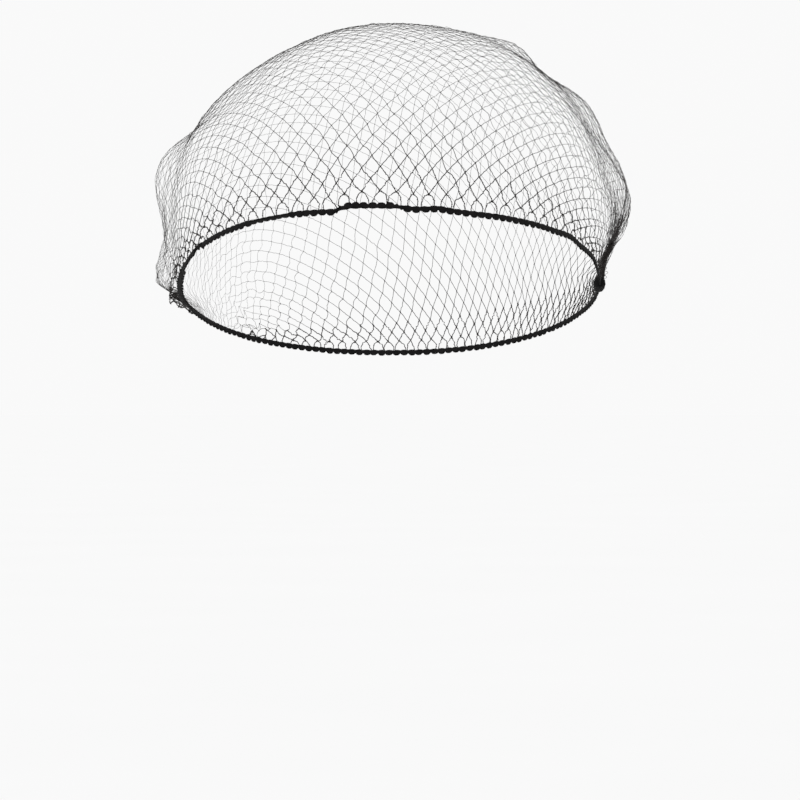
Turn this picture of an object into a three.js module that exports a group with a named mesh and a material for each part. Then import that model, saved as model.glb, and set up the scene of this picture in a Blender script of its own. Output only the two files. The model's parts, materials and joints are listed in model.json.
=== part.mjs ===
// A hairnet in its worn shape: a net bag, gathered at both sides, on a narrow elastic band.
// Millimetres, +Z up. -Y is the front, and +X is the side where the band's ends are joined.
// The origin is the centre of the opening, in the plane of the band.
// Angles around the opening start at the front and grow towards +X; angles up start at its plane.
import * as THREE from "three";

// The opening: the band lies in one plane through the origin that tilts down to the back
const OPENING_TILT_DEG = 14;

// The dome that the net is drawn over: a slightly square ellipsoid, centred above the opening,
// that drops further than it rises and is fuller at the back than at the front
const DOME_HALF_WIDTH = 73.5;
const DOME_HALF_LENGTH = 97;
const DOME_CENTRE_HEIGHT = 26;
const DOME_RISE = 61.5;
const DOME_DROP = 98;
const DOME_SQUARENESS = 2.1;
const DOME_BACK_FULLNESS = 0.05;

// The net bag: one wall, in steps from side to side and from the front edge to the back edge
const NET_WALL = 1;
const SIDE_STEPS = 46;
const FRONT_TO_BACK_STEPS = 44;

// The elastic band: a narrow flat ribbon that stands on edge round the opening
const BAND_HEIGHT = 1.9;
const BAND_THICKNESS = 1.3;
const BAND_STEPS = 80;
const SECTION_SIDES = 8;

// The band join: the band's two ends overlap here and are sewn together, which makes a thick
// sleeve that is a little thinner at its ends, and the bag's edge rises over it
const JOIN_START_DEG = 84;
const JOIN_END_DEG = 95;
const JOIN_STEPS = 6;
const JOIN_WALL = 1;
const JOIN_END_SHARE = 0.7;
const JOIN_CLEARANCE_DEG = 10;

// The clearance between pieces that touch on the real net
const SEAT_GAP = 0.3;

// How far the band rises above the plane of the opening, by the angle around it from the front
const BAND_LIFTS = [
  { around: -180, lift: 0 },
  { around: -115, lift: -1 },
  { around: -92, lift: -3.5 },
  { around: -76, lift: -3 },
  { around: -58, lift: -1.4 },
  { around: -36, lift: -1.6 },
  { around: -14, lift: -2.7 },
  { around: 14, lift: -2.7 },
  { around: 45, lift: -0.1 },
  { around: 62, lift: -0.6 },
  { around: 72, lift: -1.2 },
  { around: 92, lift: -0.5 },
  { around: 120, lift: 0 },
  { around: 180, lift: 0 },
];

// Where the bag stands off the dome or sinks below it: around from the front and up from the opening
const BILLOWS = [
  { name: "left_slope", around: -95, up: 54, spreadAround: 60, spreadUp: 15, height: -5 },
  { name: "left_upper_lobe", around: -104, up: 29, spreadAround: 17, spreadUp: 12, height: 12 },
  { name: "left_lower_pouch", around: -106, up: 6, spreadAround: 14, spreadUp: 10, height: 11 },
  { name: "right_main_lobe", around: 104, up: 23, spreadAround: 18, spreadUp: 12, height: 13 },
  { name: "right_upper_lobe", around: 102, up: 44, spreadAround: 22, spreadUp: 9, height: 7.5 },
  { name: "right_gather_dent", around: 90, up: 6, spreadAround: 9, spreadUp: 7, height: -2.5 },
  { name: "right_crown_bump", around: 86, up: 62, spreadAround: 28, spreadUp: 5, height: 6 },
  { name: "back_slack", around: 180, up: 24, spreadAround: 50, spreadUp: 24, height: 6 },
];

// Folds that fan out from the gathered corners: fan is the turn from the front edge over the
// crown to the back edge, and reach is how far from the corner each fold is deepest
const PLEATS = [
  { name: "left_crossing_fold", side: -1, fan: 120, width: 10, reach: 14, height: -3.5 },
  { name: "left_back_fold", side: -1, fan: 148, width: 9, reach: 30, height: -3.5 },
  { name: "right_front_fold", side: 1, fan: 108, width: 8, reach: 26, height: -2 },
  { name: "right_back_fold", side: 1, fan: 134, width: 9, reach: 30, height: -4 },
  { name: "right_nape_fold", side: 1, fan: 160, width: 8, reach: 30, height: -3 },
];

// How far above its edge the bag reaches the full height of its billows and folds
const EDGE_FADE_DEG = 7;

// How sharply the edge's rises and dips die away towards the crown
const LIFT_FADE_POWER = 4;

// How many times the search for the dome's surface halves its range
const SEARCH_STEPS = 40;

// The gathered corners: ropes of bunched yarn that lie on the bag, from the band up and outward
const RIGHT_GATHER = [
  { around: 86, up: 0.2, radius: 1 },
  { around: 88.5, up: 3.5, radius: 1.1 },
  { around: 91, up: 7.5, radius: 1.2 },
  { around: 93.5, up: 11.5, radius: 0.9 },
];
const LEFT_GATHER = [
  { around: -91, up: 0.4, radius: 0.7 },
  { around: -96, up: 1.5, radius: 0.9 },
  { around: -101, up: 2.6, radius: 0.7 },
];
const GATHER_STEPS = 10;
const GATHER_STAND_OFF = 0.3;

const degrees = THREE.MathUtils.degToRad;
const inDegrees = THREE.MathUtils.radToDeg;
const TILT = new THREE.Matrix4().makeRotationX(-degrees(OPENING_TILT_DEG));
const OPENING_NORMAL = new THREE.Vector3(0, 0, 1).applyMatrix4(TILT);

// A smooth bell that is 1 at 0 and falls to almost nothing past 2
function bell(distance) {
  return Math.exp(-distance * distance);
}

// An angle brought into the half turn either side of 0
function wrapped(angle) {
  return THREE.MathUtils.euclideanModulo(angle + 180, 360) - 180;
}

// The band's lift at an angle around, eased from one row of its table to the next
function bandLift(around) {
  const turned = wrapped(around);
  const next = Math.max(1, BAND_LIFTS.findIndex((row) => row.around >= turned));
  const [before, after] = [BAND_LIFTS[next - 1], BAND_LIFTS[next]];
  const share = (turned - before.around) / (after.around - before.around);
  return THREE.MathUtils.lerp(before.lift, after.lift, THREE.MathUtils.smoothstep(share, 0, 1));
}

// The direction from the origin at an angle around the opening and up from its plane
function direction(around, up) {
  const flat = Math.cos(degrees(up));
  const x = flat * Math.sin(degrees(around));
  const y = -flat * Math.cos(degrees(around));
  return new THREE.Vector3(x, y, Math.sin(degrees(up))).applyMatrix4(TILT);
}

// How far outside the dome a point is: under 1 inside it, and over 1 outside
function domeLevel(point) {
  const widening = 1 + (DOME_BACK_FULLNESS * point.y) / DOME_HALF_LENGTH;
  const height = point.z - DOME_CENTRE_HEIGHT;
  const across = Math.abs(point.x / (DOME_HALF_WIDTH * widening));
  const along = Math.abs(point.y / DOME_HALF_LENGTH);
  const upright = Math.abs(height / (height > 0 ? DOME_RISE : DOME_DROP));
  return across ** DOME_SQUARENESS + along ** DOME_SQUARENESS + upright ** DOME_SQUARENESS;
}

// The distance from the origin to the dome along a direction, found by halving
function domeRadius(towards) {
  let [inside, outside] = [0, 2 * DOME_HALF_LENGTH];
  for (let step = 0; step < SEARCH_STEPS; step += 1) {
    const middle = (inside + outside) / 2;
    if (domeLevel(towards.clone().multiplyScalar(middle)) < 1) inside = middle;
    else outside = middle;
  }
  return inside;
}

// The billows' part of the height at a place on the bag
function billowHeight(around, up) {
  return BILLOWS.reduce((sum, row) => {
    const sideways = bell(wrapped(around - row.around) / row.spreadAround);
    return sum + row.height * sideways * bell((up - row.up) / row.spreadUp);
  }, 0);
}

// Each fold grows out of its corner, is deepest at its reach and dies away beyond it
function pleatHeight(around, up) {
  const flat = Math.cos(degrees(up));
  const aside = flat * Math.sin(degrees(around));
  const ahead = flat * Math.cos(degrees(around));
  const fan = inDegrees(Math.atan2(Math.sin(degrees(up)), ahead));
  return PLEATS.reduce((sum, row) => {
    const away = inDegrees(Math.acos(THREE.MathUtils.clamp(row.side * aside, -1, 1))) / row.reach;
    const along = away * Math.exp(1 - away);
    return sum + row.height * along * bell((fan - row.fan) / row.width);
  }, 0);
}

// A point on the line that the band follows
function edgePoint(around) {
  const towards = direction(around, 0);
  return towards.multiplyScalar(domeRadius(towards)).addScaledVector(OPENING_NORMAL, bandLift(around));
}

// How far the bag's edge is raised to follow the band and to clear the join
function edgeLift(around) {
  const joinMiddle = (JOIN_START_DEG + JOIN_END_DEG) / 2;
  const nearJoin = bell(((around - joinMiddle) / JOIN_CLEARANCE_DEG) ** 2);
  return bandLift(around) + (JOIN_WALL + SEAT_GAP) * nearJoin;
}

// A point of the bag's middle surface, or this far outside it
function bagPoint(around, up, offset) {
  const towards = direction(around, up);
  const relief = billowHeight(around, up) + pleatHeight(around, up);
  const radius = domeRadius(towards) + relief * THREE.MathUtils.smoothstep(up, 0, EDGE_FADE_DEG) + offset;
  const fade = Math.cos(degrees(up)) ** LIFT_FADE_POWER;
  const lift = BAND_HEIGHT / 2 + SEAT_GAP + edgeLift(around) * fade;
  return towards.multiplyScalar(radius).addScaledVector(OPENING_NORMAL, lift);
}

// The direction straight out of the bag's surface
function bagNormal(around, up) {
  const sideways = bagPoint(around + 1, up, 0).sub(bagPoint(around - 1, up, 0));
  const upward = bagPoint(around, up + 1, 0).sub(bagPoint(around, up, 0));
  return sideways.cross(upward).normalize();
}

// A mesh from a list of points and triangles of their numbers
function piece(name, points, triangles, material) {
  const geometry = new THREE.BufferGeometry();
  geometry.setAttribute(
    "position",
    new THREE.Float32BufferAttribute(points.flatMap((point) => point.toArray()), 3),
  );
  geometry.setIndex(triangles.flat());
  geometry.computeVertexNormals();
  const mesh = new THREE.Mesh(geometry, material);
  mesh.name = name;
  return mesh;
}

// A point of the bag on its grid: lines from the left corner to the right corner of the opening
// that fan from the front edge over the crown to the back edge
function gridPoint(step, fan, offset) {
  const across = (Math.PI * step) / SIDE_STEPS;
  const turn = (Math.PI * fan) / FRONT_TO_BACK_STEPS;
  const ahead = Math.sin(across) * Math.cos(turn);
  const height = Math.sin(across) * Math.sin(turn);
  const around = inDegrees(Math.atan2(-Math.cos(across), ahead));
  return bagPoint(around, inDegrees(Math.asin(THREE.MathUtils.clamp(height, 0, 1))), offset);
}

// The bag's outer and inner faces, joined along the opening's edge; each face comes to one point
// at the two corners
function netBag(material) {
  const points = [];
  const numbers = new Map();

  function number(step, fan, offset) {
    const fanStep = step === 0 || step === SIDE_STEPS ? 0 : fan;
    const key = `${step} ${fanStep} ${offset}`;
    if (!numbers.has(key)) {
      numbers.set(key, points.length);
      points.push(gridPoint(step, fanStep, offset));
    }
    return numbers.get(key);
  }

  // The four corners are given as [step, fan, offset], and two of them may be the same point
  const triangles = [];
  function quad(...corners) {
    const [a, b, c, d] = corners.map((corner) => number(...corner));
    if (a !== b && b !== c && c !== a) triangles.push([a, b, c]);
    if (a !== c && c !== d && d !== a) triangles.push([a, c, d]);
  }

  const [outer, inner] = [NET_WALL / 2, -NET_WALL / 2];
  const last = FRONT_TO_BACK_STEPS;
  for (let step = 0; step < SIDE_STEPS; step += 1) {
    const next = step + 1;
    for (let fan = 0; fan < last; fan += 1) {
      quad([step, fan, outer], [next, fan, outer], [next, fan + 1, outer], [step, fan + 1, outer]);
      quad([step, fan, inner], [step, fan + 1, inner], [next, fan + 1, inner], [next, fan, inner]);
    }
    quad([step, 0, outer], [step, 0, inner], [next, 0, inner], [next, 0, outer]);
    quad([step, last, outer], [next, last, outer], [next, last, inner], [step, last, inner]);
  }
  return piece("net_bag", points, triangles, material);
}

// Rings of points joined one to the next, either closed into a loop or capped at both ends
function loft(name, rings, closed, material) {
  const count = rings[0].length;
  const points = rings.flat();
  const triangles = [];
  const lastRing = closed ? rings.length : rings.length - 1;
  for (let ring = 0; ring < lastRing; ring += 1) {
    const next = (ring + 1) % rings.length;
    for (let k = 0; k < count; k += 1) {
      const beside = (k + 1) % count;
      const [a, b] = [ring * count + k, ring * count + beside];
      const [c, d] = [next * count + beside, next * count + k];
      triangles.push([a, b, c], [a, c, d]);
    }
  }
  if (!closed) {
    const end = (rings.length - 1) * count;
    for (let k = 1; k < count - 1; k += 1) {
      triangles.push([0, k + 1, k], [end, end + k, end + k + 1]);
    }
  }
  return piece(name, points, triangles, material);
}

// A point of the band's section, this far outside the band's own surface
function sectionPoint(around, side, growth) {
  const ahead = edgePoint(around + 1).sub(edgePoint(around - 1)).normalize();
  const outward = new THREE.Vector3().crossVectors(ahead, OPENING_NORMAL).normalize();
  const upward = new THREE.Vector3().crossVectors(outward, ahead).normalize();
  const angle = (2 * Math.PI * side) / SECTION_SIDES;
  return edgePoint(around)
    .addScaledVector(upward, (BAND_HEIGHT / 2 + growth) * Math.sin(angle))
    .addScaledVector(outward, (BAND_THICKNESS / 2 + growth) * Math.cos(angle));
}

// A list made by calling a function with each number from 0
function counted(length, make) {
  return Array.from({ length }, (_, index) => make(index));
}

// The band is one closed loop of sections
function elasticBand(material) {
  const rings = counted(BAND_STEPS, (step) =>
    counted(SECTION_SIDES, (side) => sectionPoint((-360 * step) / BAND_STEPS, side, 0)),
  );
  return loft("elastic_band", rings, true, material);
}

// The sleeve goes round the band's section as rings that each run out along it and back inside
function bandJoin(material) {
  const stations = counted(JOIN_STEPS + 1, (step) => {
    const share = step / JOIN_STEPS;
    const fullness = JOIN_END_SHARE + (1 - JOIN_END_SHARE) * Math.sin(Math.PI * share);
    return { around: THREE.MathUtils.lerp(JOIN_START_DEG, JOIN_END_DEG, share), wall: JOIN_WALL * fullness };
  });
  const rings = counted(SECTION_SIDES, (side) => [
    ...stations.map((at) => sectionPoint(at.around, side, SEAT_GAP + at.wall)),
    ...stations.toReversed().map((at) => sectionPoint(at.around, side, SEAT_GAP)),
  ]);
  return loft("band_join", rings, true, material);
}

// A tapered rope that lies on the outside of the bag, through the places of its table
function gather(name, rows, material) {
  const seats = rows.map((row) => {
    const clear = NET_WALL / 2 + SEAT_GAP + GATHER_STAND_OFF + row.radius;
    return bagPoint(row.around, row.up, 0).addScaledVector(bagNormal(row.around, row.up), clear);
  });
  const curve = new THREE.CatmullRomCurve3(seats);
  const frames = curve.computeFrenetFrames(GATHER_STEPS);
  const rings = counted(GATHER_STEPS + 1, (step) => {
    const at = (step / GATHER_STEPS) * (rows.length - 1);
    const row = Math.min(Math.floor(at), rows.length - 2);
    const radius = THREE.MathUtils.lerp(rows[row].radius, rows[row + 1].radius, at - row);
    return counted(SECTION_SIDES, (side) => {
      const angle = (2 * Math.PI * side) / SECTION_SIDES;
      return curve
        .getPointAt(step / GATHER_STEPS)
        .addScaledVector(frames.normals[step], radius * Math.cos(angle))
        .addScaledVector(frames.binormals[step], radius * Math.sin(angle));
    });
  });
  return loft(name, rings, false, material);
}

const netYarn = new THREE.MeshStandardMaterial({ color: 0x2a2624, roughness: 0.75, metalness: 0 });
const elasticYarn = new THREE.MeshStandardMaterial({ color: 0x0b0a0b, roughness: 0.85, metalness: 0 });

const group = new THREE.Group();
group.add(netBag(netYarn), elasticBand(elasticYarn), bandJoin(elasticYarn));
group.add(gather("right_gather", RIGHT_GATHER, netYarn), gather("left_gather", LEFT_GATHER, netYarn));

export default group;
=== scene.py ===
"""The looks of a worn hairnet: a knotted net gathered at both sides, on a crocheted elastic band.

Everything is in metres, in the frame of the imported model: -Y is the front and +Z is up.
An angle around the opening starts at the front and grows towards +X, and an angle up starts at the
opening's plane. The net is a lattice of knots: columns run from the left corner of the opening to
the right one, and rows run from the front edge over the crown to the back edge.
"""

import json
import math

import bpy
import numpy as np
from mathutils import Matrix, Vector
from mathutils.bvhtree import BVHTree


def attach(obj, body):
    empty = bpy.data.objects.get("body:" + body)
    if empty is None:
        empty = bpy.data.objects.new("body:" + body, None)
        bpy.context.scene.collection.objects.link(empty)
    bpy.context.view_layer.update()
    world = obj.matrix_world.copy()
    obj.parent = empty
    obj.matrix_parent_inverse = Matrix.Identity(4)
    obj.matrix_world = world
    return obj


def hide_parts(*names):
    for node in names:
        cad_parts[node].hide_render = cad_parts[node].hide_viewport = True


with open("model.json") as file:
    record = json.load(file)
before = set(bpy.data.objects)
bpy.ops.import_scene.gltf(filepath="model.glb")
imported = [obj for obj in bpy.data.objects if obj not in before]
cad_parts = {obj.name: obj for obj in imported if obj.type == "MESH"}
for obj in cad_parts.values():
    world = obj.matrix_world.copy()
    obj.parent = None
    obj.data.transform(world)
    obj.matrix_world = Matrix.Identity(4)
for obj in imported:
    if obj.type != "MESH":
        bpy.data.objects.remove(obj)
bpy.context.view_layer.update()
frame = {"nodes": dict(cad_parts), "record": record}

MM = 0.001
RANDOM_SEED = 7
TINY = 1e-12

# The camera: its place, and the lens that gives the photo's framing
CAMERA_PLACE = (0.0035, -1.2, -0.039)
CAMERA_LENS = 158.36
SENSOR_WIDTH = 36.0

# The surface of the net, sampled from the model's bag on a grid of angles
AROUND_SAMPLES = 144
UP_SAMPLES = 50
LOWEST_UP = math.radians(1.8)
NET_WALL = 1.0 * MM

# Over which angle the net's surface is compared to find the way out of it, and how far up this works
NORMAL_STEP = math.radians(0.7)
NORMAL_HIGHEST_UP = math.radians(88)

# How much fuller than modelled the net hangs low down at its two sides: where, and how far this
# reaches, both in degrees around and up, and how far out it stands
LOBES = (
    {"middle": (95, 13.5), "reach": (25, 4.8), "height": 2.1 * MM},
    {"middle": (-98, 4), "reach": (18, 4.5), "height": 1.5 * MM},
)

# The elastic band as modelled, with one sample for each ring of its loop, and the points of its
# centreline, which runs from the sewn join at the right round to the join again
BAND_RINGS = 80
BAND_POINTS = 4001
BAND_SEAM = 90

# How far along the band its points are compared to find its direction
BAND_REACH = 0.5 * MM

# The knotted net: half steps between knots, and the length of each bar of yarn between them
NET_COLUMNS = 92
NET_ROWS = 78
BAR_LENGTH = 4.9 * MM
BAR_UNEVENNESS = 0.05

# How the net settles: the steps, how far a knot moves in each as a multiple of its bars' mean pull, and
# how hard a slack bar pushes beside the pull of a tight one
RELAX_STEPS = 300
RELAX_GAIN = 2.2
SLACK_PUSH = 0.02

# The points of a row's line over the net, the trial rows that space the rows, and the points of an edge
ROW_POINTS = 300
TRIAL_ROWS = 200
EDGE_POINTS = 600

# The columns lie closest near the middle of the front: how much closer, at which share of the columns,
# and how wide this reaches
CROWDING = 0.36
CROWDED_PLACE = 0.56
CROWDED_WIDTH = 0.3

# How much closer the rows lie over the crown than at the edges, and at the front than at the back
CROWN_CROWDING = 0.08
FRONT_CROWDING = 0.15

# How sharply a raised corner's height dies away along a row, and how suddenly the rows draw together
# at the left and the right corner: the lower, the more suddenly
END_RISE_POWER = 1.5
LEFT_DRAW = 0.5
RIGHT_DRAW = 0.48

# Where the net's two gathered side edges meet the band, from their front end to their back end, and how
# late along the rows the left one spreads out
LEFT_CORNER = (math.radians(-116), math.radians(-142))
LEFT_SPREAD_POWER = 2.5
RIGHT_CORNER = (math.radians(87), math.radians(92))

# The rope that the right side is gathered into: the most of a row's last knots that lie in it, how many
# rows in from an edge each of them needs, its radius at the join, and how much wider its upper end is
ROPE_COLUMNS = 3
ROPE_JOINING_ROWS = 4
ROPE_RADIUS = 0.75 * MM
ROPE_FLARE = 1.2

# The slices that its middle line is found from, and how far its lower end leans in to the join
RIGHT_ROPE_SLICES = 8
ROPE_LEAN = 1.4 * MM

# The rope's own strands, the twist over their length in radians, and the turn from one to the next
ROPE_STRANDS = 36
ROPE_STEPS = 16
ROPE_TWIST = 2.5
GOLDEN_TURN = math.pi * (3 - math.sqrt(5))

# How far they run on up the net, in degrees: the fan they spread over, and how high they end
ROPE_FAN = (74, 110)
ROPE_REACH = (14, 24)
FAN_STEPS = 10

# How far above the band's middle the net's edge is caught in it
EDGE_SEAT = 0.55 * MM

# The folds that bunch the net's yarn: their lines, as pairs of degrees around and up, how wide they
# reach, and how strongly they draw the knots in
FOLD_STEPS = 100
FOLDS = (
    {
        "places": (
            (83, 59), (80, 56), (72, 53.5), (65, 51.5), (57, 48.5), (51, 43.6), (52, 40.8),
            (51.5, 36.6), (54, 33.5), (57.5, 32.4), (64, 31.8), (75, 32.8), (83, 31.4), (86, 29.2),
        ),
        "width": 6 * MM,
        "draw": 0.8,
    },
    {
        "places": ((79, 34), (86.5, 30), (90, 26), (99, 23), (97, 17), (92, 12)),
        "width": 5 * MM,
        "draw": 0.6,
    },
    {
        "places": (
            (-88, 34), (-85, 29), (-85, 25.5), (-89.5, 20), (-92, 15), (-88, 10), (-82, 5), (-79, 1),
        ),
        "width": 5 * MM,
        "draw": 0.75,
    },
)

# The net's yarn: how much heavier it is at the band, and over how many rows this dies away; how much
# finer it is in the two gathered sides, and over how many columns; and how far it wavers
YARN_RADIUS = 0.056 * MM
EDGE_WEIGHT = 2.3
EDGE_WEIGHT_ROWS = 5
LEFT_FINENESS = 0.42
RIGHT_FINENESS = 0.28
FINE_COLUMNS = 13
YARN_WAVER = 0.075 * MM
STRAND_STEPS = 6
STRAND_SIDES = 4

# The edge rows: how many there are at the front and at the back, and their doubled, twisted yarn
EDGE_ROWS = 3
EDGE_YARN_RADIUS = 0.125 * MM
EDGE_PLY_SPREAD = 0.11 * MM
EDGE_TWIST = 1.6 * MM
EDGE_WAVER = 0.14 * MM
EDGE_STEPS = 8
EDGE_SIDES = 4

# How far a slack bar bows, as a share of its slack and at most of its length, and how much of that
# lifts it off the net; and the extra slack of the bars that stand on the band
BOW_OF_SLACK = 1.2
MOST_BOW = 0.2
BOW_LIFT = 0.6
ARCH_SLACK = 0.22

# How far the legs that stand on the band are drawn together, as a share of their reach along it
MOST_FOOT_SHIFT = 0.5

# The knots: half sizes across, out of and along the net, as multiples of the yarn's radius
KNOT_HALF = (2.2, 1.9, 3.2)
KNOT_TILT = 0.4
KNOT_UNEVENNESS = 0.2
KNOT_SIDES = 5
KNOT_RINGS = 3

# The elastic ribbon: two cords side by side, each wound with yarn, and the plain cores inside them and
# between them, of which the middle one is plumper where the ribbon turns right over
CORD_OFFSET = 0.33 * MM
WINDING_RADIUS = 0.24 * MM
WINDING_PITCH = 0.9 * MM
WINDING_STEPS = 10
BAND_YARN_RADIUS = 0.17 * MM
BAND_YARN_SIDES = 5
CORE_RADIUS = 0.36 * MM
TURN_CORE_RADIUS = 0.62 * MM
CORE_STEP = 0.6 * MM
CORE_SIDES = 8

# The scallops on the ribbon's two edges: plump stitches on the lower one and slight ones on the upper
PICOT_PITCH = 2.75 * MM
PICOT_UNEVENNESS = 0.05
PICOT_BASE = 0.55 * MM
PICOT_HEIGHT = 0.6 * MM
PICOT_DEPTH = 0.34 * MM
SMALL_PICOT_HEIGHT = 0.12 * MM
PICOT_WIDTH = 2.1 * MM
SMALL_PICOT_WIDTH = 1.6 * MM
PICOT_PLY_SPREAD = 0.1 * MM
PICOT_TWIST = 1.1 * MM
PICOT_SIDES = 8
PICOT_LUMP_RINGS = 5

# The arches of yarn along the band: how much their sides bulge, and the range of their heights as
# multiples of the height meant
ARCH_STEPS = 10
ARCH_BULGE = 0.1
ARCH_HEIGHTS = (0.8, 1.2)

# Where the ribbon turns over: angles around the opening, lengths, and half turns of the ribbon
BAND_TWISTS = (
    {"around": -9, "length": 3.5 * MM, "half_turns": 1},
    {"around": 2, "length": 4 * MM, "half_turns": 1},
    {"around": -18.5, "length": 5 * MM, "half_turns": 0.4},
    {"around": -30, "length": 6 * MM, "half_turns": -0.4},
    {"around": -51, "length": 9 * MM, "half_turns": 2},
    {"around": -68, "length": 7 * MM, "half_turns": 0.5},
    {"around": -108, "length": 9 * MM, "half_turns": -0.5},
)

# How far the band dips below its modelled line: pairs of degrees around and a depth
BAND_DIPS = (
    (-70, 0),
    (-62, 0.67 * MM),
    (-54, -0.1 * MM),
    (-40, -0.16 * MM),
    (-17, -0.06 * MM),
    (-13, 0.38 * MM),
    (-10, 0.73 * MM),
    (-8.7, -0.06 * MM),
    (-7.2, -0.48 * MM),
    (-3, -0.29 * MM),
    (1, -0.1 * MM),
    (4, 0.54 * MM),
    (6, 0.48 * MM),
    (9, -0.16 * MM),
    (12, 0.32 * MM),
    (16, 0.29 * MM),
    (21, 0.06 * MM),
    (30, 0.25 * MM),
    (38, 0.44 * MM),
    (46, -0.32 * MM),
    (51, 0.25 * MM),
    (62, -0.67 * MM),
    (68, -0.16 * MM),
    (71, 0.32 * MM),
    (76, 0),
)

# The sleeve sewn over the band's ends: where it lies, in degrees around, its size and how full it is at
# its ends, and the thread that is wound round it
JOIN_SPAN = (84, 95)
JOIN_HEIGHT = 3.9 * MM
JOIN_THICKNESS = 3.8 * MM
JOIN_END_SHARE = 0.85
JOIN_SIDES = 16
JOIN_TURNS = 14
JOIN_THREAD = 0.2 * MM
JOIN_THREAD_SIDES = 6

# The ladder of small loops of net yarn on the band in front of the left corner: from where to where,
# in degrees around, and the loops' pitch, width, height and distance from the band's middle
LADDER = (-92, -64)
LADDER_PITCH = 1.1 * MM
LADDER_WIDTH = 2.2 * MM
LADDER_HEIGHT = 1.1 * MM
LADDER_BASE = 0.3 * MM

# The left gather's bunch of strands, the slices that its middle line is found from, and how far past
# its two ends they meet the band
BUNCH_STRANDS = 18
BUNCH_RADIUS = 0.45 * MM
LEFT_ROPE_SLICES = 6
BUNCH_FEET = (math.radians(2), math.radians(-9))

# The yarn of the gathers, and how much finer the rope's strands grow above it
GATHER_YARN_RADIUS = 0.085 * MM
FAN_FINENESS = 0.4

# The tangles of small loops in the two gathers. The loops' scatter, half widths and half lengths are
# shares of the tangle's radius
RIGHT_TANGLE = {"radius": 0.7 * MM, "count": 24}
LEFT_TANGLE = {"radius": 0.6 * MM, "count": 40}
LOOP_SCATTER = 0.35
LOOP_WIDTHS = (0.6, 1.1)
LOOP_LENGTHS = (0.8, 1.5)
LOOP_STEPS = 12

# The loose loops that stand off the rope's lower part: how many of its points this part has, the loops'
# number and height, the range of this as multiples, and their width as a share of the part's length
LOOSE_PART = 5
LOOSE_COUNT = 4
LOOSE_HEIGHT = 1.6 * MM
LOOSE_HEIGHTS = (0.7, 1.2)
LOOSE_WIDTH = 0.2

# The yarns' looks: the darkest and the lightest colour, the roughness and how far it strays either way,
# the gloss, and how strongly the fibres show
NET_YARN = {
    "dark": (0.006, 0.0045, 0.004),
    "light": (0.022, 0.017, 0.015),
    "rough": 0.5,
    "specular": 0.25,
    "bump": 0.4,
}
ELASTIC_YARN = {
    "dark": (0.0015, 0.0014, 0.0015),
    "light": (0.008, 0.007, 0.0075),
    "rough": 0.7,
    "specular": 0.12,
    "bump": 0.6,
}
ROUGHNESS_STRAY = 0.12
FIBRE_HEIGHT = 0.05 * MM

# The materials' grain: its waves per metre and its detail, and the noise's range that the colours span
YARN_COLOUR_SCALE = 400
YARN_COLOUR_DETAIL = 4
YARN_GLOSS_SCALE = 2250
YARN_FIBRE_SCALE = 9000
YARN_FIBRE_DETAIL = 3
NOISE_RANGE = (0.3, 0.7)

# The studio
WORLD_LIGHT = 0.95
KEY_FROM = (-0.5, -0.6, 1)
KEY_STRENGTH = 0.55
KEY_WIDTH = math.radians(50)
FLOOR_HALF = 60
FLOOR_HEIGHT = -0.3
PAPER_GREYS = (0.868, 0.874)
PAPER_ROUGHNESS = 0.9
PAPER_SCALE = 3
PAPER_DETAIL = 2


# The opening's own axes, as columns: to the right, to the back, and up out of its plane
opening_up = -np.array(frame["record"]["mounts"][0]["axis"], float)
opening_right = np.array([1.0, 0.0, 0.0])
OPENING_AXES = np.stack([opening_right, np.cross(opening_up, opening_right), opening_up], axis=1)


def unit(vectors):
    """Vectors scaled to length 1."""
    return vectors / np.maximum(np.linalg.norm(vectors, axis=-1, keepdims=True), TINY)


def run_along(path):
    """The run from a path's start to each of its points."""
    return np.append(0, np.cumsum(np.linalg.norm(np.diff(path, axis=0), axis=1)))


def direction(around, up):
    """Unit vectors from the origin at angles around the opening and up from its plane."""
    flat = np.cos(up)
    local = np.stack([flat * np.sin(around), -flat * np.cos(around), np.sin(up)], axis=-1)
    return local @ OPENING_AXES.T


def angles_of(points):
    """The angles around and up of points."""
    local = points @ OPENING_AXES
    distance = np.linalg.norm(local, axis=-1)
    return np.arctan2(local[..., 0], -local[..., 1]), np.arcsin(np.clip(local[..., 2] / distance, -1, 1))


def spline_weights(share):
    """The weights of four neighbouring samples of a smooth curve through all samples."""
    return np.stack(
        [
            -0.5 * share + share**2 - 0.5 * share**3,
            1 - 2.5 * share**2 + 1.5 * share**3,
            0.5 * share + 2 * share**2 - 1.5 * share**3,
            -0.5 * share**2 + 0.5 * share**3,
        ],
        axis=-1,
    )


def node_points(name):
    """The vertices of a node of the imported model."""
    mesh = frame["nodes"][name].data
    points = np.empty(len(mesh.vertices) * 3)
    mesh.vertices.foreach_get("co", points)
    return points.reshape(-1, 3)


def sample_bag():
    """The distance from the origin to the middle of the bag's wall, on a grid of angles."""
    mesh = frame["nodes"]["net_bag"].data
    tree = BVHTree.FromPolygons([v.co for v in mesh.vertices], [p.vertices[:] for p in mesh.polygons])
    table = np.empty((AROUND_SAMPLES, UP_SAMPLES))
    for a in range(AROUND_SAMPLES):
        around = 2 * math.pi * a / AROUND_SAMPLES
        for u in range(UP_SAMPLES):
            up = LOWEST_UP + (math.pi / 2 - LOWEST_UP) * u / (UP_SAMPLES - 1)
            table[a, u] = tree.ray_cast(Vector((0, 0, 0)), Vector(direction(around, up)))[3]
    return table + NET_WALL / 2


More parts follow.
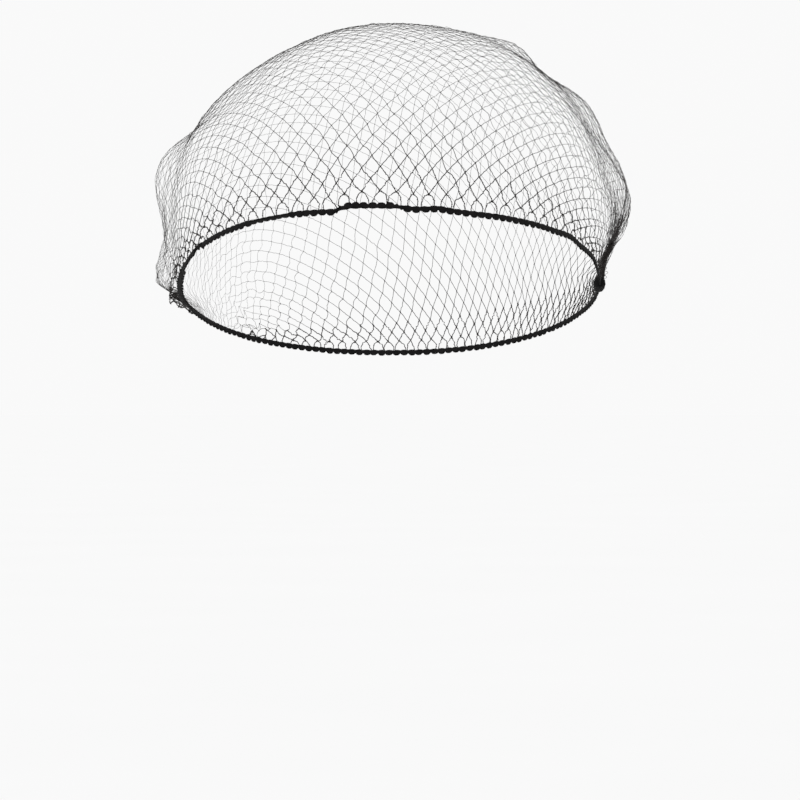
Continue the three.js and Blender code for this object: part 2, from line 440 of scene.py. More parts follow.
def lobe_fullness():
    """How much further out than modelled the net stands at its lobes, on the same grid of angles."""
    around = 360 * np.arange(AROUND_SAMPLES)[:, None] / AROUND_SAMPLES
    up = np.degrees(np.linspace(LOWEST_UP, math.pi / 2, UP_SAMPLES))
    fullness = np.zeros((AROUND_SAMPLES, UP_SAMPLES))
    for lobe in LOBES:
        sideways = ((around - lobe["middle"][0] + 180) % 360 - 180) / lobe["reach"][0]
        upright = (up - lobe["middle"][1]) / lobe["reach"][1]
        fullness += lobe["height"] * np.exp(-(sideways**2) - upright**2)
    return fullness


def sample_band():
    """The band's centreline at evenly spaced angles around, from the front."""
    points = node_points("elastic_band")
    around = angles_of(points)[0]
    ring = np.round(around / (2 * math.pi) * BAND_RINGS).astype(int) % BAND_RINGS
    return np.stack([points[ring == k].mean(axis=0) for k in range(BAND_RINGS)])


bag_distance = sample_bag() + lobe_fullness()
band_line = sample_band()


def band_point(around):
    """A point on the band's line."""
    place = np.asarray(around) / (2 * math.pi) * BAND_RINGS
    first = np.floor(place).astype(int)
    weights = spline_weights(place - first)
    near = [band_line[(first + k - 1) % BAND_RINGS] * weights[..., k, None] for k in range(4)]
    dip = np.interp((np.degrees(around) + 180) % 360 - 180, *np.transpose(BAND_DIPS))
    return sum(near) - dip[..., None] * opening_up


band_rise = angles_of(band_line)[1]

# The band's centreline in fine steps, and the run along it
band_around = np.radians(np.linspace(BAND_SEAM - 360, BAND_SEAM, BAND_POINTS))
band_path = band_point(band_around)
band_run = run_along(band_path)


def band_run_at(degrees):
    """The run along the band to an angle around, given in degrees."""
    return np.interp(np.radians(degrees), band_around, band_run)


def edge_up(around):
    """The angle up at which the band, and so the net's edge, lies."""
    place = np.asarray(around) / (2 * math.pi) * BAND_RINGS
    return np.interp(place % BAND_RINGS, np.arange(BAND_RINGS + 1), np.append(band_rise, band_rise[0]))


def net_point(around, up):
    """A point of the net's surface."""
    across = np.asarray(around) / (2 * math.pi) * AROUND_SAMPLES
    upward = (np.asarray(up) - LOWEST_UP) / (math.pi / 2 - LOWEST_UP) * (UP_SAMPLES - 1)
    upward = np.clip(upward, 0, UP_SAMPLES - 1 - TINY)
    first_across, first_upward = np.floor(across).astype(int), upward.astype(int)
    across_weights = spline_weights(across - first_across)
    upward_weights = spline_weights(upward - first_upward)
    distance = 0
    for a in range(4):
        column = (first_across + a - 1) % AROUND_SAMPLES
        for u in range(4):
            row = np.clip(first_upward + u - 1, 0, UP_SAMPLES - 1)
            weight = across_weights[..., a] * upward_weights[..., u]
            distance = distance + weight * bag_distance[column, row]
    return direction(around, up) * distance[..., None]


def onto_net(points):
    """Points moved straight out from or in to the origin onto the net, and not below its edge."""
    around, up = angles_of(points)
    return net_point(around, np.maximum(up, edge_up(around)))


def net_normal(points):
    """The direction straight out of the net at points on it."""
    around, up = angles_of(points)
    up = np.clip(up, edge_up(around) + NORMAL_STEP, NORMAL_HIGHEST_UP)
    sideways = net_point(around + NORMAL_STEP, up) - net_point(around - NORMAL_STEP, up)
    upward = net_point(around, up + NORMAL_STEP) - net_point(around, up - NORMAL_STEP)
    return unit(np.cross(sideways, upward))


def spaced(path, shares):
    """Points at shares of a path's length."""
    run = run_along(path)
    return np.stack([np.interp(shares * run[-1], run, path[:, k]) for k in range(3)], axis=-1)


def centreline(name, steps):
    """A rope's centreline from its lowest end: the middles of slices across its length."""
    points = node_points(name)
    middle = points.mean(axis=0)
    lengthwise = np.linalg.svd(points - middle, full_matrices=False)[2][0]
    lengthwise = lengthwise * np.sign(lengthwise @ opening_up)
    along = (points - middle) @ lengthwise
    slice_of = np.clip(((along - along.min()) / np.ptp(along) * steps).astype(int), 0, steps - 1)
    return np.stack([points[slice_of == k].mean(axis=0) for k in range(steps)])


def right_rope_line():
    """The right rope's middle line, which runs on down into the join and leans in to it."""
    line = centreline("right_gather", RIGHT_ROPE_SLICES)
    line = np.concatenate([2 * line[:1] - line[1:2], line])
    return line - ROPE_LEAN * np.linspace(1, 0, len(line))[:, None] ** 2 * opening_right


def left_rope_line():
    """The left gather's middle line, with both its ends brought down to the band."""
    line = centreline("left_gather", LEFT_ROPE_SLICES)
    feet = band_point(angles_of(line[[0, -1]])[0] + BUNCH_FEET) + LADDER_BASE * opening_up
    return np.concatenate([feet[:1], line, feet[1:]])


right_rope = right_rope_line()
left_rope = left_rope_line()


def meridian(turn, left_end, right_end):
    """A line over the net from its left corner to its right corner. The turn is 0 along the front edge,
    and half a turn along the back edge."""
    share = np.linspace(0, 1, ROW_POINTS)[:, None]
    across = math.pi * share
    over = OPENING_AXES @ (0, -math.cos(turn), math.sin(turn))
    towards = over * np.abs(np.sin(across)) ** (LEFT_DRAW + (RIGHT_DRAW - LEFT_DRAW) * share)
    for end, side in ((left_end, 1), (right_end, -1)):
        end_direction = unit(end)
        near = (1 + side * np.cos(across)) / 2
        rise = opening_up * (end_direction @ opening_up)
        towards = towards + (end_direction - rise) * near + rise * near**END_RISE_POWER
    points = onto_net(towards)
    points[0], points[-1] = left_end, right_end
    return points


def row_turns():
    """The turn of each row, spaced along the net's middle line from front to back."""
    turns = np.linspace(0, math.pi, TRIAL_ROWS)
    left, right = band_point(sum(LEFT_CORNER) / 2), right_rope[-1]
    run = run_along(np.stack([meridian(turn, left, right)[ROW_POINTS // 2] for turn in turns]))
    share = np.arange(NET_ROWS + 1) / NET_ROWS
    share = share + CROWN_CROWDING * np.sin(2 * math.pi * share) / (2 * math.pi)
    share = share - FRONT_CROWDING * np.sin(math.pi * share) / math.pi
    return np.interp(share * run[-1], run, turns)


def column_shares(count):
    """Where a row's knots lie along it: closest near the middle of the front."""
    place = (np.arange(count) + 0.5) / count
    gaps = 1 - CROWDING * np.exp(-(((place - CROWDED_PLACE) / CROWDED_WIDTH) ** 2))
    return np.append(0, np.cumsum(gaps)) / gaps.sum()


def rope_columns(row):
    """How many of a row's last knots lie in the right rope: the outer rows join it lower down."""
    return min(ROPE_COLUMNS, row // ROPE_JOINING_ROWS, (NET_ROWS - row) // ROPE_JOINING_ROWS)


def rope_offset(number, count, height, turned=0.0):
    """Where a strand lies in the rope's width: the strands fill it from its middle outwards, and the
    rope grows wider with its height, from 0 to 1."""
    turn = number * GOLDEN_TURN + turned
    reach = ROPE_RADIUS * np.sqrt((number + 0.5) / count) * (1 + ROPE_FLARE * height**2)
    across = np.stack([np.cos(turn), np.sin(turn)], axis=-1) * reach[..., None]
    return across @ OPENING_AXES[:, :2].T


def laid_knots():
    """The knots laid evenly over the net, and which are held: those on the band and in the rope."""
    knots = np.empty((NET_COLUMNS + 1, NET_ROWS + 1, 3))
    held = np.zeros((NET_COLUMNS + 1, NET_ROWS + 1), bool)
    rope = spaced(right_rope, np.linspace(0, 1, ROPE_COLUMNS + 1))
    for row, turn in enumerate(row_turns()):
        spread = (row / NET_ROWS) ** LEFT_SPREAD_POWER
        left = band_point(LEFT_CORNER[0] + (LEFT_CORNER[1] - LEFT_CORNER[0]) * spread)
        in_rope = rope_columns(row)
        free = NET_COLUMNS - in_rope
        line = meridian(turn, left, rope[in_rope])
        knots[: free + 1, row] = spaced(line, column_shares(free))
        for k in range(in_rope):
            height = np.array(k / ROPE_COLUMNS)
            knots[NET_COLUMNS - k, row] = rope[k] + rope_offset(row, NET_ROWS, height)
        held[0, row] = True
        held[free:, row] = True
    front_edge = (0, LEFT_CORNER[0], RIGHT_CORNER[0])
    back_edge = (NET_ROWS, LEFT_CORNER[1], RIGHT_CORNER[1] - 2 * math.pi)
    for row, start, end in (front_edge, back_edge):
        edge = band_point(np.linspace(start, end, EDGE_POINTS)) + opening_up * EDGE_SEAT
        knots[:, row] = spaced(edge, column_shares(NET_COLUMNS))
        held[:, row] = True
    return knots, held


def lattice_bars():
    """The bars of yarn as pairs of knot numbers, each bar's lower row, and which places hold a knot."""
    column, row = np.meshgrid(np.arange(NET_COLUMNS + 1), np.arange(NET_ROWS + 1), indexing="ij")
    knotted = (column + row) % 2 == 0
    starts, ends, rows = [], [], []
    for rise in (1, -1):
        from_column, from_row = column[knotted], row[knotted]
        there = (from_column < NET_COLUMNS) & (from_row + rise >= 0) & (from_row + rise <= NET_ROWS)
        from_column, from_row = from_column[there], from_row[there]
        starts.append(from_column * (NET_ROWS + 1) + from_row)
        ends.append((from_column + 1) * (NET_ROWS + 1) + from_row + rise)
        rows.append(np.minimum(from_row, from_row + rise))
    return np.concatenate(starts), np.concatenate(ends), np.concatenate(rows), knotted.reshape(-1)


def on_band(numbers):
    """Which of the numbered knots are caught in the band: those of the first and the last row."""
    return np.isin(numbers % (NET_ROWS + 1), (0, NET_ROWS))


def drawn_into_folds(knots, loose):
    """The loose knots after those near a fold have been drawn towards its line."""
    for fold in FOLDS:
        line = net_point(*np.radians(fold["places"]).T)
        line = spaced(line, np.linspace(0, 1, FOLD_STEPS))
        away = np.linalg.norm(knots[loose, None] - line, axis=-1)
        nearest = line[np.argmin(away, axis=1)]
        pull = fold["draw"] * np.exp(-((away.min(axis=1) / fold["width"]) ** 2))
        knots[loose] = onto_net(knots[loose] + (nearest - knots[loose]) * pull[:, None])
    return knots


def settled(knots, loose, starts, ends, lengths):
    """The knots after the bars have pulled the loose ones together until none is overstretched."""
    count = len(knots)
    bars_at = np.maximum(np.bincount(starts, minlength=count) + np.bincount(ends, minlength=count), 1)
    for _ in range(RELAX_STEPS):
        span = knots[ends] - knots[starts]
        distance = np.linalg.norm(span, axis=1)
        excess = distance - lengths
        excess = np.where(excess > 0, excess, excess * SLACK_PUSH)
        pull = span * (excess / np.maximum(distance, TINY) / 2)[:, None]
        moves = [np.bincount(starts, way, count) - np.bincount(ends, way, count) for way in pull.T]
        moves = np.stack(moves, axis=-1) / bars_at[:, None]
        knots[loose] += moves[loose] * RELAX_GAIN
        knots[loose] = onto_net(knots[loose])
    return knots


def rope_knots():
    """The numbers of the knots that lie in the right rope, and of those that it starts from."""
    return [
        (NET_COLUMNS - k) * (NET_ROWS + 1) + row
        for row in range(NET_ROWS + 1)
        for k in range(rope_columns(row) + 1)
    ]


def relaxed_net():
    """The settled net: its knots, and its bars with their rows, lengths and kinds."""
    knots, held = laid_knots()
    starts, ends, rows, knotted = lattice_bars()
    loose = np.flatnonzero(~held.reshape(-1) & knotted)
    lengths = BAR_LENGTH * (1 + BAR_UNEVENNESS * random.uniform(-1, 1, len(starts)))
    knots = settled(knots.reshape(-1, 3), loose, starts, ends, lengths)
    numbers = np.arange(len(knots))
    rope = rope_knots()
    return {
        "knots": drawn_into_folds(knots, loose),
        "shown_knots": np.flatnonzero(knotted & ~on_band(numbers) & ~np.isin(numbers, rope)),
        "starts": starts,
        "ends": ends,
        "rows": rows,
        "lengths": lengths,
        "in_rope": np.isin(starts, rope) & np.isin(ends, rope),
        "at_edge": (rows < EDGE_ROWS) | (rows >= NET_ROWS - EDGE_ROWS),
    }


def mesh_piece(name, shapes, material):
    """One smooth mesh, made of shapes that are each points and faces, that rides on the root body."""
    points, faces, first = [], [], 0
    for shape_points, shape_faces in shapes:
        points.extend(shape_points.tolist())
        faces.extend([[first + k for k in face] for face in shape_faces])
        first += len(shape_points)
    mesh = bpy.data.meshes.new(name)
    mesh.from_pydata(points, [], faces)
    mesh.polygons.foreach_set("use_smooth", [True] * len(mesh.polygons))
    mesh.materials.append(material)
    piece = bpy.data.objects.new(name, mesh)
    bpy.context.scene.collection.objects.link(piece)
    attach(piece, "root")
    return piece


def directions_across(paths, across):
    """The two square directions across paths, of which the second is nearest to a given one."""
    tangents = unit(np.gradient(paths, axis=1))
    first = unit(np.cross(tangents, across))
    return first, np.cross(first, tangents)


def tube_faces(count, length, sides):
    """The faces of capped tubes, whose points are rings of equal numbers of points."""
    ring = np.arange(count * length * sides).reshape(count, length, sides)
    beside = np.roll(ring, -1, axis=2)
    quads = np.stack([ring[:, :-1], beside[:, :-1], beside[:, 1:], ring[:, 1:]], axis=-1).reshape(-1, 4)
    caps = np.concatenate([ring[:, 0, ::-1], ring[:, -1]])
    return quads.tolist() + caps.tolist()


def tubes(paths, radius, sides, across):
    """Tubes along paths of equal numbers of points, with a direction across each to start from."""
    count, length = paths.shape[:2]
    first, second = directions_across(paths, across)
    turns = 2 * math.pi * np.arange(sides) / sides
    spokes = first[:, :, None] * np.cos(turns)[:, None] + second[:, :, None] * np.sin(turns)[:, None]
    points = paths[:, :, None] + spokes * np.broadcast_to(radius, (count, length))[:, :, None, None]
    return points.reshape(-1, 3), tube_faces(count, length, sides)


def lumps(centres, first, second, third, sides, rings):
    """Egg-shaped lumps, each with its three half axes as vectors."""
    turns = 2 * math.pi * np.arange(sides) / sides
    slopes = math.pi * (np.arange(rings) + 1) / (rings + 1)
    flat = np.sin(slopes)[:, None]
    parts = (
        (first, flat * np.cos(turns), 0),
        (second, flat * np.sin(turns), 0),
        (third, np.cos(slopes)[:, None] * np.ones(sides), 1),
    )
    points = centres[:, None]
    for axis, weight, pole in parts:
        weight = np.concatenate([[pole], weight.ravel(), [-pole]])
        points = points + weight[:, None] * axis[:, None]
    last = sides * rings + 1
    faces = []
    for k in range(sides):
        beside = (k + 1) % sides
        faces.append([0, 1 + k, 1 + beside])
        faces.append([last, last - sides + beside, last - sides + k])
        for ring in range(rings - 1):
            low, high = 1 + ring * sides, 1 + (ring + 1) * sides
            faces.append([low + k, high + k, high + beside, low + beside])
    starts = range(0, (last + 1) * len(centres), last + 1)
    return points.reshape(-1, 3), [[start + k for k in face] for start in starts for face in faces]


def plies(paths, across, spread, pitch):
    """Two strands twisted round each path, with the directions across them."""
    first, second = directions_across(paths, across)
    steps = np.linalg.norm(np.diff(paths, axis=1), axis=-1)
    run = np.concatenate([np.zeros((len(paths), 1)), np.cumsum(steps, axis=1)], axis=1)
    angle = (2 * math.pi * run / pitch)[..., None]
    spoke = first * np.cos(angle) + second * np.sin(angle)
    both = np.concatenate([paths + spread * spoke, paths - spread * spoke])
    return both, np.concatenate([spoke, spoke])


def opening_flat(vectors):
    """Vectors without their part along the opening's way up."""
    return vectors - (vectors @ opening_up)[..., None] * opening_up


def bar_paths(net, chosen, steps, waver):
    """Some of the net's bars as curves: a slack bar bows, and each wavers a little. The bars that stand
    on the band bow upwards, into arches. Also the directions out of the net along them."""
    starts, ends = net["starts"][chosen], net["ends"][chosen]
    lengths, rows = net["lengths"][chosen], net["rows"][chosen]
    share = np.linspace(0, 1, steps + 1)[:, None]
    first, last = net["knots"][starts][:, None], net["knots"][ends][:, None]
    shift = opening_flat(last - first) * random.uniform(0, MOST_FOOT_SHIFT, (len(starts), 1, 1))
    first = first + shift * on_band(starts)[:, None, None]
    last = last - shift * on_band(ends)[:, None, None]
    span = last - first
    distance = np.linalg.norm(span, axis=-1)
    outward = net_normal((first + last)[:, 0] / 2)[:, None]
    sideways = unit(np.cross(unit(span), outward))
    tilt = random.uniform(-1, 1, (len(starts), 1))
    way = np.sign(tilt)
    standing = (rows == 0) | (rows == NET_ROWS - 1)
    way[standing, 0] = np.sign((sideways[:, 0] @ opening_up)[standing])
    slack = np.maximum(lengths[:, None] - distance, 0)
    slack[standing] += (ARCH_SLACK * distance)[standing]
    bow = np.minimum(BOW_OF_SLACK * slack * random.uniform(0, 1, slack.shape), MOST_BOW * distance)
    bow_way = unit(sideways * way[..., None] + outward * np.abs(tilt)[..., None] * BOW_LIFT)
    shake = random.normal(0, waver, (len(starts), steps + 1, 2)) * np.sin(math.pi * share)
    paths = first + span * share + bow_way * (bow[..., None] * 4 * share * (1 - share))
    return paths + sideways * shake[..., :1] + outward * shake[..., 1:], outward


def yarn_radius(columns, rows):
    """The yarn's radius at places in the lattice."""
    edge = np.exp(-np.minimum(rows, NET_ROWS - rows) / EDGE_WEIGHT_ROWS)
    fineness = LEFT_FINENESS * np.exp(-((columns / FINE_COLUMNS) ** 2))
    fineness = fineness + RIGHT_FINENESS * np.exp(-(((NET_COLUMNS - columns) / FINE_COLUMNS) ** 2))
    return YARN_RADIUS * (1 + EDGE_WEIGHT * edge) * (1 - fineness * (1 - edge))


def net_strands(net, material):
    """The net's bars between its edge rows, as a front, a crown and a back piece."""
    thirds = np.linspace(EDGE_ROWS, NET_ROWS - EDGE_ROWS, 4).astype(int)
    for name, low, high in zip(("net_front", "net_crown", "net_back"), thirds[:-1], thirds[1:]):
        chosen = (net["rows"] >= low) & (net["rows"] < high) & ~net["in_rope"]
        paths, outward = bar_paths(net, chosen, STRAND_STEPS, YARN_WAVER)
        radius = yarn_radius(net["starts"][chosen] // (NET_ROWS + 1), net["rows"][chosen])[:, None]
        piece = mesh_piece(name, [tubes(paths, radius, STRAND_SIDES, outward)], material)
        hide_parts("net_bag")


def net_edge_rows(net, material):
    """The rows of bars next to the band, in doubled and twisted yarn."""
    paths, outward = bar_paths(net, net["at_edge"], EDGE_STEPS, EDGE_WAVER)
    both, across = plies(paths, outward, EDGE_PLY_SPREAD, EDGE_TWIST)
    shapes = [tubes(both, EDGE_YARN_RADIUS, EDGE_SIDES, across)]
    piece = mesh_piece("net_edge_rows", shapes, material)


def net_knots(net, material):
    """A knot where four bars meet: a small lump, longest up and down the net."""
    numbers = net["shown_knots"]
    column, row = np.divmod(numbers, NET_ROWS + 1)
    centres = net["knots"][numbers]
    outward = net_normal(centres)
    lengthwise = unit(np.cross(outward, opening_right))
    lengthwise = unit(lengthwise + random.normal(0, KNOT_TILT, centres.shape))
    crosswise = unit(np.cross(lengthwise, outward))
    size = random.uniform(1 - KNOT_UNEVENNESS, 1 + KNOT_UNEVENNESS, (3, len(centres), 1))
    size = size * yarn_radius(column, row)[:, None]
    ways = (crosswise, outward, lengthwise)
    axes = [way * half * share for way, half, share in zip(ways, KNOT_HALF, size)]
    return mesh_piece("net_knots", [lumps(centres, *axes, KNOT_SIDES, KNOT_RINGS)], material)


def band_turn(run):
    """How far the ribbon has turned about its own length, at runs along it."""
    turn = 0
    for twist in BAND_TWISTS:
        share = np.clip((run - band_run_at(twist["around"])) / twist["length"] + 0.5, 0, 1)
        turn = turn + math.pi * twist["half_turns"] * share * share * (3 - 2 * share)
    return turn


def band_frames(run, turned=True):
    """The band's middle, the way down its height and the way out of its face, at runs along it."""
    middle, before, after = [
        np.stack([np.interp(at, band_run, band_path[:, k]) for k in range(3)], axis=-1)
        for at in (run, run - BAND_REACH, run + BAND_REACH)
    ]
    ahead = unit(after - before)
    outward = unit(np.cross(ahead, opening_up))
    down = np.cross(ahead, outward)
    if not turned:
        return middle, down, outward
    turn = band_turn(run)[..., None]
    turned_down = down * np.cos(turn) + outward * np.sin(turn)
    turned_outward = outward * np.cos(turn) - down * np.sin(turn)
    return middle, turned_down, turned_outward


def band_cord(side):
    """One of the ribbon's two cords: yarn wound round one half of the band."""
    steps = int(band_run[-1] / WINDING_PITCH * WINDING_STEPS)
    run = np.linspace(0, band_run[-1], steps)
    middle, down, outward = band_frames(run)
    turn = (2 * math.pi * run / WINDING_PITCH)[:, None]
    centre = middle + down * side * CORD_OFFSET
    spoke = down * side * np.cos(turn) + outward * np.sin(turn)
    return tubes((centre + spoke * WINDING_RADIUS)[None], BAND_YARN_RADIUS, BAND_YARN_SIDES, spoke[None])


def band_core():
    """The elastic inside the ribbon's windings: a cord in each, and one between them that is plump where
    the ribbon turns right over."""
    run = np.linspace(0, band_run[-1], int(band_run[-1] / CORE_STEP))
    middle, down, outward = band_frames(run)
    paths = np.stack([middle + down * side * CORD_OFFSET for side in (1, 0, -1)])
    radii = np.full((3, len(run)), CORE_RADIUS)
    for twist in BAND_TWISTS:
        if twist["half_turns"] == 1:
            away = (run - band_run_at(twist["around"])) / twist["length"]
            radii[1] += (TURN_CORE_RADIUS - CORE_RADIUS) * np.exp(-(away**2))
    return tubes(paths, radii, CORE_SIDES, outward)


def band_arches(centres, width, heights, base, side, turned=True):
    """Arches of yarn that stand on one edge of the band: on its lower edge where side is 1."""
    share = np.linspace(0, 1, ARCH_STEPS + 1)
    bulge = 1 + ARCH_BULGE * np.sin(math.pi * share)
    run = centres[:, None] - width / 2 * np.cos(math.pi * share) * bulge
    middle, down, outward = band_frames(np.clip(run, 0, band_run[-1]), turned)
    rise = base + heights[:, None] * np.sin(math.pi * share)
    return middle + down * (side * rise)[..., None], outward


def picots(side, height, width):
    """The scallops along one edge of the ribbon, each a plump stitch under an arch of doubled yarn."""
    count = int(band_run[-1] / PICOT_PITCH)
    centres = (np.arange(count) + 0.5) * band_run[-1] / count
    centres = centres + random.normal(0, PICOT_UNEVENNESS * PICOT_PITCH, count)
    heights = height * random.uniform(*ARCH_HEIGHTS, count)
    middle, down, outward = band_frames(centres)
    base = middle + down * side * PICOT_BASE
    half_axes = (np.cross(down, outward) * width / 2, outward * PICOT_DEPTH, down * heights[:, None])
    plump = lumps(base, *half_axes, PICOT_SIDES, PICOT_LUMP_RINGS)
    arch, across = band_arches(centres, width, heights, PICOT_BASE, side)
    both, across = plies(arch, across, PICOT_PLY_SPREAD, PICOT_TWIST)
    return [plump, tubes(both, BAND_YARN_RADIUS, BAND_YARN_SIDES, across)]


def elastic_band(material):
    """The crocheted ribbon, and the scallops on its edges."""
    cords = [band_core(), band_cord(1), band_cord(-1)]
    piece = mesh_piece("elastic_band", cords, material)
    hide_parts("elastic_band")
    scallops = picots(1, PICOT_HEIGHT, PICOT_WIDTH) + picots(-1, SMALL_PICOT_HEIGHT, SMALL_PICOT_WIDTH)
    mesh_piece("band_scallops", scallops, material)


def band_join(material):
    """The sewn sleeve over the band's two ends: a padded tube under close windings of thread."""
    start, end = band_run_at(JOIN_SPAN)
    run = np.linspace(start, end, JOIN_TURNS * WINDING_STEPS)
    middle, down, outward = band_frames(run, turned=False)
    share = ((run - start) / (end - start))[:, None]
    fullness = JOIN_END_SHARE + (1 - JOIN_END_SHARE) * np.sin(math.pi * share) ** 0.5
    angle = 2 * math.pi * share * JOIN_TURNS
    spoke = down * np.cos(angle) * JOIN_HEIGHT / 2 + outward * np.sin(angle) * JOIN_THICKNESS / 2
    thread = (middle + spoke * fullness)[None]
    windings = tubes(thread, JOIN_THREAD, JOIN_THREAD_SIDES, unit(spoke)[None])
    around = 2 * math.pi * np.arange(JOIN_SIDES)[:, None] / JOIN_SIDES
    high = down[:, None] * np.cos(around) * JOIN_HEIGHT / 2
    deep = outward[:, None] * np.sin(around) * JOIN_THICKNESS / 2
    rings = middle[:, None] + fullness[:, None] * (high + deep)
    body = rings.reshape(-1, 3), tube_faces(1, len(run), JOIN_SIDES)
    piece = mesh_piece("band_join", [body, windings], material)
    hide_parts("band_join")


def tangle(line, radius, count):
    """Small loops of yarn at random round a line, which make a knotty rope."""
    place = random.uniform(0, 1, count)
    centres = spaced(line, place) + random.normal(0, radius * LOOP_SCATTER, (count, 3))
    first = unit(random.normal(0, 1, (count, 3)))
    second = unit(np.cross(first, unit(random.normal(0, 1, (count, 3)))))
    share = np.linspace(0, 1, LOOP_STEPS + 1)[None, :, None]
    wide = radius * random.uniform(*LOOP_WIDTHS, (count, 1, 1))
    long = radius * random.uniform(*LOOP_LENGTHS, (count, 1, 1))
    paths = centres[:, None] + first[:, None] * wide * np.cos(2 * math.pi * share)
    paths = paths + second[:, None] * long * np.sin(2 * math.pi * share)
    return tubes(paths, GATHER_YARN_RADIUS, STRAND_SIDES, np.cross(first, second)[:, None])


def loose_loops(line, outward):
    """Loose loops of yarn that stand off one side of a rope."""
    share = np.linspace(0, 1, LOOP_STEPS + 1)
    place = (np.arange(LOOSE_COUNT) + 0.5) / LOOSE_COUNT
    heights = LOOSE_HEIGHT * random.uniform(*LOOSE_HEIGHTS, LOOSE_COUNT)
    along = place[:, None] - LOOSE_WIDTH / 2 * np.cos(math.pi * share)
    paths = np.stack([spaced(line, np.clip(row, 0, 1)) for row in along])
    paths = paths + outward * (heights[:, None] * np.sin(math.pi * share))[..., None]
    return tubes(paths, GATHER_YARN_RADIUS, STRAND_SIDES, np.cross(line[-1] - line[0], outward))


def rope_strands():
    """The paths of strands that run the length of the rope, turned a little round each other."""
    share = np.linspace(0, 1, ROPE_STEPS + 1)
    number = np.arange(ROPE_STRANDS)[:, None]
    return spaced(right_rope, share) + rope_offset(number, ROPE_STRANDS, share, ROPE_TWIST * share)


def gather_fan(strands, material):
    """The rope's strands where they spread out above it and run on up the net."""
    around = np.radians(random.uniform(*ROPE_FAN, ROPE_STRANDS))
    ends = net_point(around, np.radians(random.uniform(*ROPE_REACH, ROPE_STRANDS)))[:, None]
    climb = np.linspace(0, 1, FAN_STEPS + 1)
    first = strands[:, -1:]
    paths = first + (ends - first) * climb[:, None]
    paths = paths + (onto_net(paths) - paths) * climb[:, None]
    radius = GATHER_YARN_RADIUS * (1 - FAN_FINENESS * climb)
    mesh_piece("gather_fan", [tubes(paths, radius, STRAND_SIDES, opening_right)], material)


def right_gather(net, material):
    """The rope that the net's side is gathered into: its own strands, knotted together with loops."""
    paths, outward = bar_paths(net, net["in_rope"] & ~net["at_edge"], STRAND_STEPS, EDGE_WAVER)
    strands = rope_strands()
    shapes = [
        tubes(paths, GATHER_YARN_RADIUS, STRAND_SIDES, outward),
        tubes(strands, GATHER_YARN_RADIUS, STRAND_SIDES, opening_right),
        tangle(right_rope, **RIGHT_TANGLE),
        loose_loops(right_rope[:LOOSE_PART], opening_right),
    ]
    piece = mesh_piece("right_gather", shapes, material)
    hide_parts("right_gather")
    gather_fan(strands, material)


def edge_ladder(material):
    """The ladder of small doubled loops on the band, in front of the left gather."""
    start, end = band_run_at(LADDER)
    count = int((end - start) / LADDER_PITCH)
    centres = start + (np.arange(count) + 0.5) * LADDER_PITCH
    heights = LADDER_HEIGHT * random.uniform(*ARCH_HEIGHTS, count)
    paths, outward = band_arches(centres, LADDER_WIDTH, heights, LADDER_BASE, side=-1, turned=False)
    both, across = plies(paths, outward, EDGE_PLY_SPREAD, EDGE_TWIST)
    shapes = [tubes(both, EDGE_YARN_RADIUS, STRAND_SIDES, across)]
    mesh_piece("edge_ladder", shapes, material)


def left_gather(material):
    """The bunch of strands and loops where the net's other side is drawn onto the band."""
    share = np.linspace(0, 1, ROPE_STEPS + 1)
    spread = random.normal(0, BUNCH_RADIUS, (BUNCH_STRANDS, 1, 3)) * np.sin(math.pi * share)[:, None]
    shapes = [
        tubes(spaced(left_rope, share) + spread, GATHER_YARN_RADIUS, STRAND_SIDES, opening_right),
        tangle(left_rope[1:-1], **LEFT_TANGLE),
    ]
    piece = mesh_piece("left_gather", shapes, material)
    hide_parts("left_gather")


def nodes_of(name):
    """A new material, with its nodes and its shader."""
    material = bpy.data.materials.new(name)
    material.use_nodes = True
    tree = material.node_tree
    return material, tree, tree.nodes["Principled BSDF"]


def noise(tree, scale, detail):
    """A noise over the object's own places."""
    place = tree.nodes.new("ShaderNodeTexCoord")
    node = tree.nodes.new("ShaderNodeTexNoise")
    node.inputs["Scale"].default_value = scale
    node.inputs["Detail"].default_value = detail
    tree.links.new(place.outputs["Object"], node.inputs["Vector"])
    return node.outputs["Fac"]


def ramp(tree, source, low, high):
    """A colour that follows a noise, from a low colour to a high one."""
    node = tree.nodes.new("ShaderNodeValToRGB")
    for element, place, colour in zip(node.color_ramp.elements, NOISE_RANGE, (low, high)):
        element.position = place
        element.color = (*colour, 1)
    tree.links.new(source, node.inputs["Fac"])
    return node.outputs["Color"]


def grey(level):
    """A grey colour."""
    return (level, level, level)


def yarn_material(name, dark, light, rough, specular, bump):
    """A yarn: its colour and gloss vary along it, and fine fibres raise its surface."""
    material, tree, shader = nodes_of(name)
    colour = ramp(tree, noise(tree, YARN_COLOUR_SCALE, YARN_COLOUR_DETAIL), dark, light)
    tree.links.new(colour, shader.inputs["Base Color"])
    fibres = noise(tree, YARN_GLOSS_SCALE, YARN_FIBRE_DETAIL)
    gloss = ramp(tree, fibres, grey(rough - ROUGHNESS_STRAY), grey(rough + ROUGHNESS_STRAY))
    tree.links.new(gloss, shader.inputs["Roughness"])
    shader.inputs["Specular IOR Level"].default_value = specular
    raised = tree.nodes.new("ShaderNodeBump")
    raised.inputs["Strength"].default_value = bump
    raised.inputs["Distance"].default_value = FIBRE_HEIGHT
    tree.links.new(noise(tree, YARN_FIBRE_SCALE, YARN_FIBRE_DETAIL), raised.inputs["Height"])
    tree.links.new(raised.outputs["Normal"], shader.inputs["Normal"])
    return material


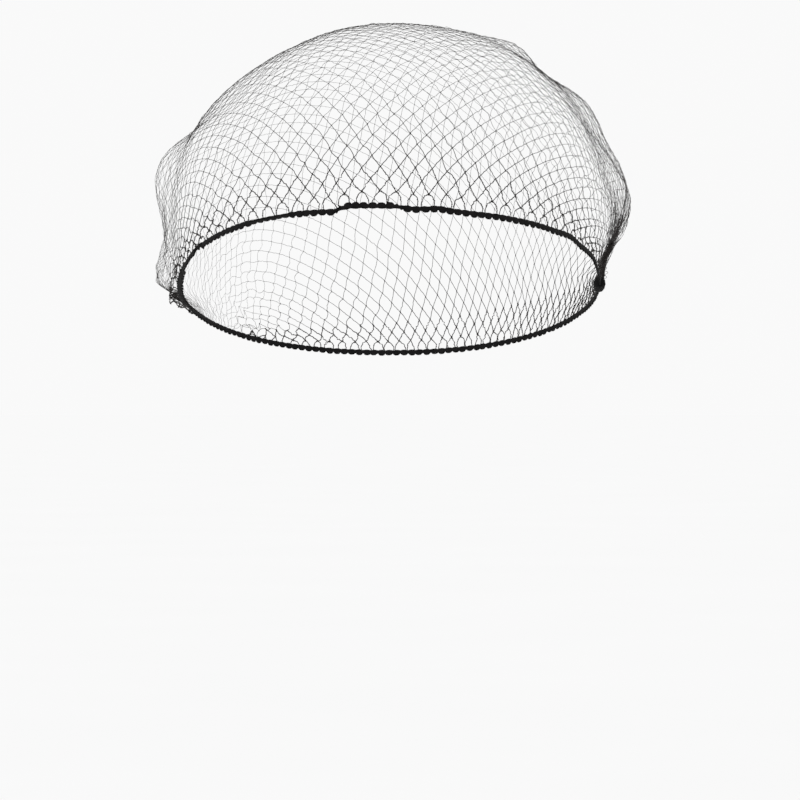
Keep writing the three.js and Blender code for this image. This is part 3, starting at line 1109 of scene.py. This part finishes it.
def floor_material():
    """Pale paper with a very faint unevenness."""
    material, tree, shader = nodes_of("pale_paper")
    colour = ramp(tree, noise(tree, PAPER_SCALE, PAPER_DETAIL), *map(grey, PAPER_GREYS))
    tree.links.new(colour, shader.inputs["Base Color"])
    shader.inputs["Roughness"].default_value = PAPER_ROUGHNESS
    shader.inputs["Specular IOR Level"].default_value = 0.0
    return material


def place_camera():
    """The camera, level and looking along +Y."""
    data = bpy.data.cameras.new("camera")
    data.lens = CAMERA_LENS
    data.sensor_width = SENSOR_WIDTH
    camera = bpy.data.objects.new("camera", data)
    camera.location = CAMERA_PLACE
    camera.rotation_euler = (math.pi / 2, 0, 0)
    bpy.context.scene.collection.objects.link(camera)
    bpy.context.scene.camera = camera


def soft_light():
    """A wide soft light from above, in front and to the left."""
    data = bpy.data.lights.new("key", "SUN")
    data.angle = KEY_WIDTH
    data.energy = KEY_STRENGTH
    light = bpy.data.objects.new("key", data)
    light.rotation_euler = (-Vector(KEY_FROM)).to_track_quat("-Z", "Y").to_euler()
    bpy.context.scene.collection.objects.link(light)


def studio():
    """A pale floor under an even white light."""
    scene = bpy.context.scene
    scene.view_settings.view_transform = "Standard"
    world = bpy.data.worlds.new("studio")
    world.use_nodes = True
    background = world.node_tree.nodes["Background"]
    background.inputs["Color"].default_value = (*grey(WORLD_LIGHT), 1)
    scene.world = world
    mesh = bpy.data.meshes.new("floor")
    square = ((-1, -1), (1, -1), (1, 1), (-1, 1))
    corners = [(FLOOR_HALF * x, FLOOR_HALF * y, FLOOR_HEIGHT) for x, y in square]
    mesh.from_pydata(corners, [], [(0, 1, 2, 3)])
    mesh.materials.append(floor_material())
    floor = bpy.data.objects.new("floor", mesh)
    scene.collection.objects.link(floor)
    soft_light()


place_camera()
studio()
random = np.random.default_rng(RANDOM_SEED)
yarn = yarn_material("net_yarn", **NET_YARN)
elastic = yarn_material("elastic_yarn", **ELASTIC_YARN)
net = relaxed_net()
knots = net_knots(net, yarn)
net_strands(net, yarn)
net_edge_rows(net, yarn)
elastic_band(elastic)
band_join(elastic)
right_gather(net, yarn)
edge_ladder(yarn)
left_gather(yarn)
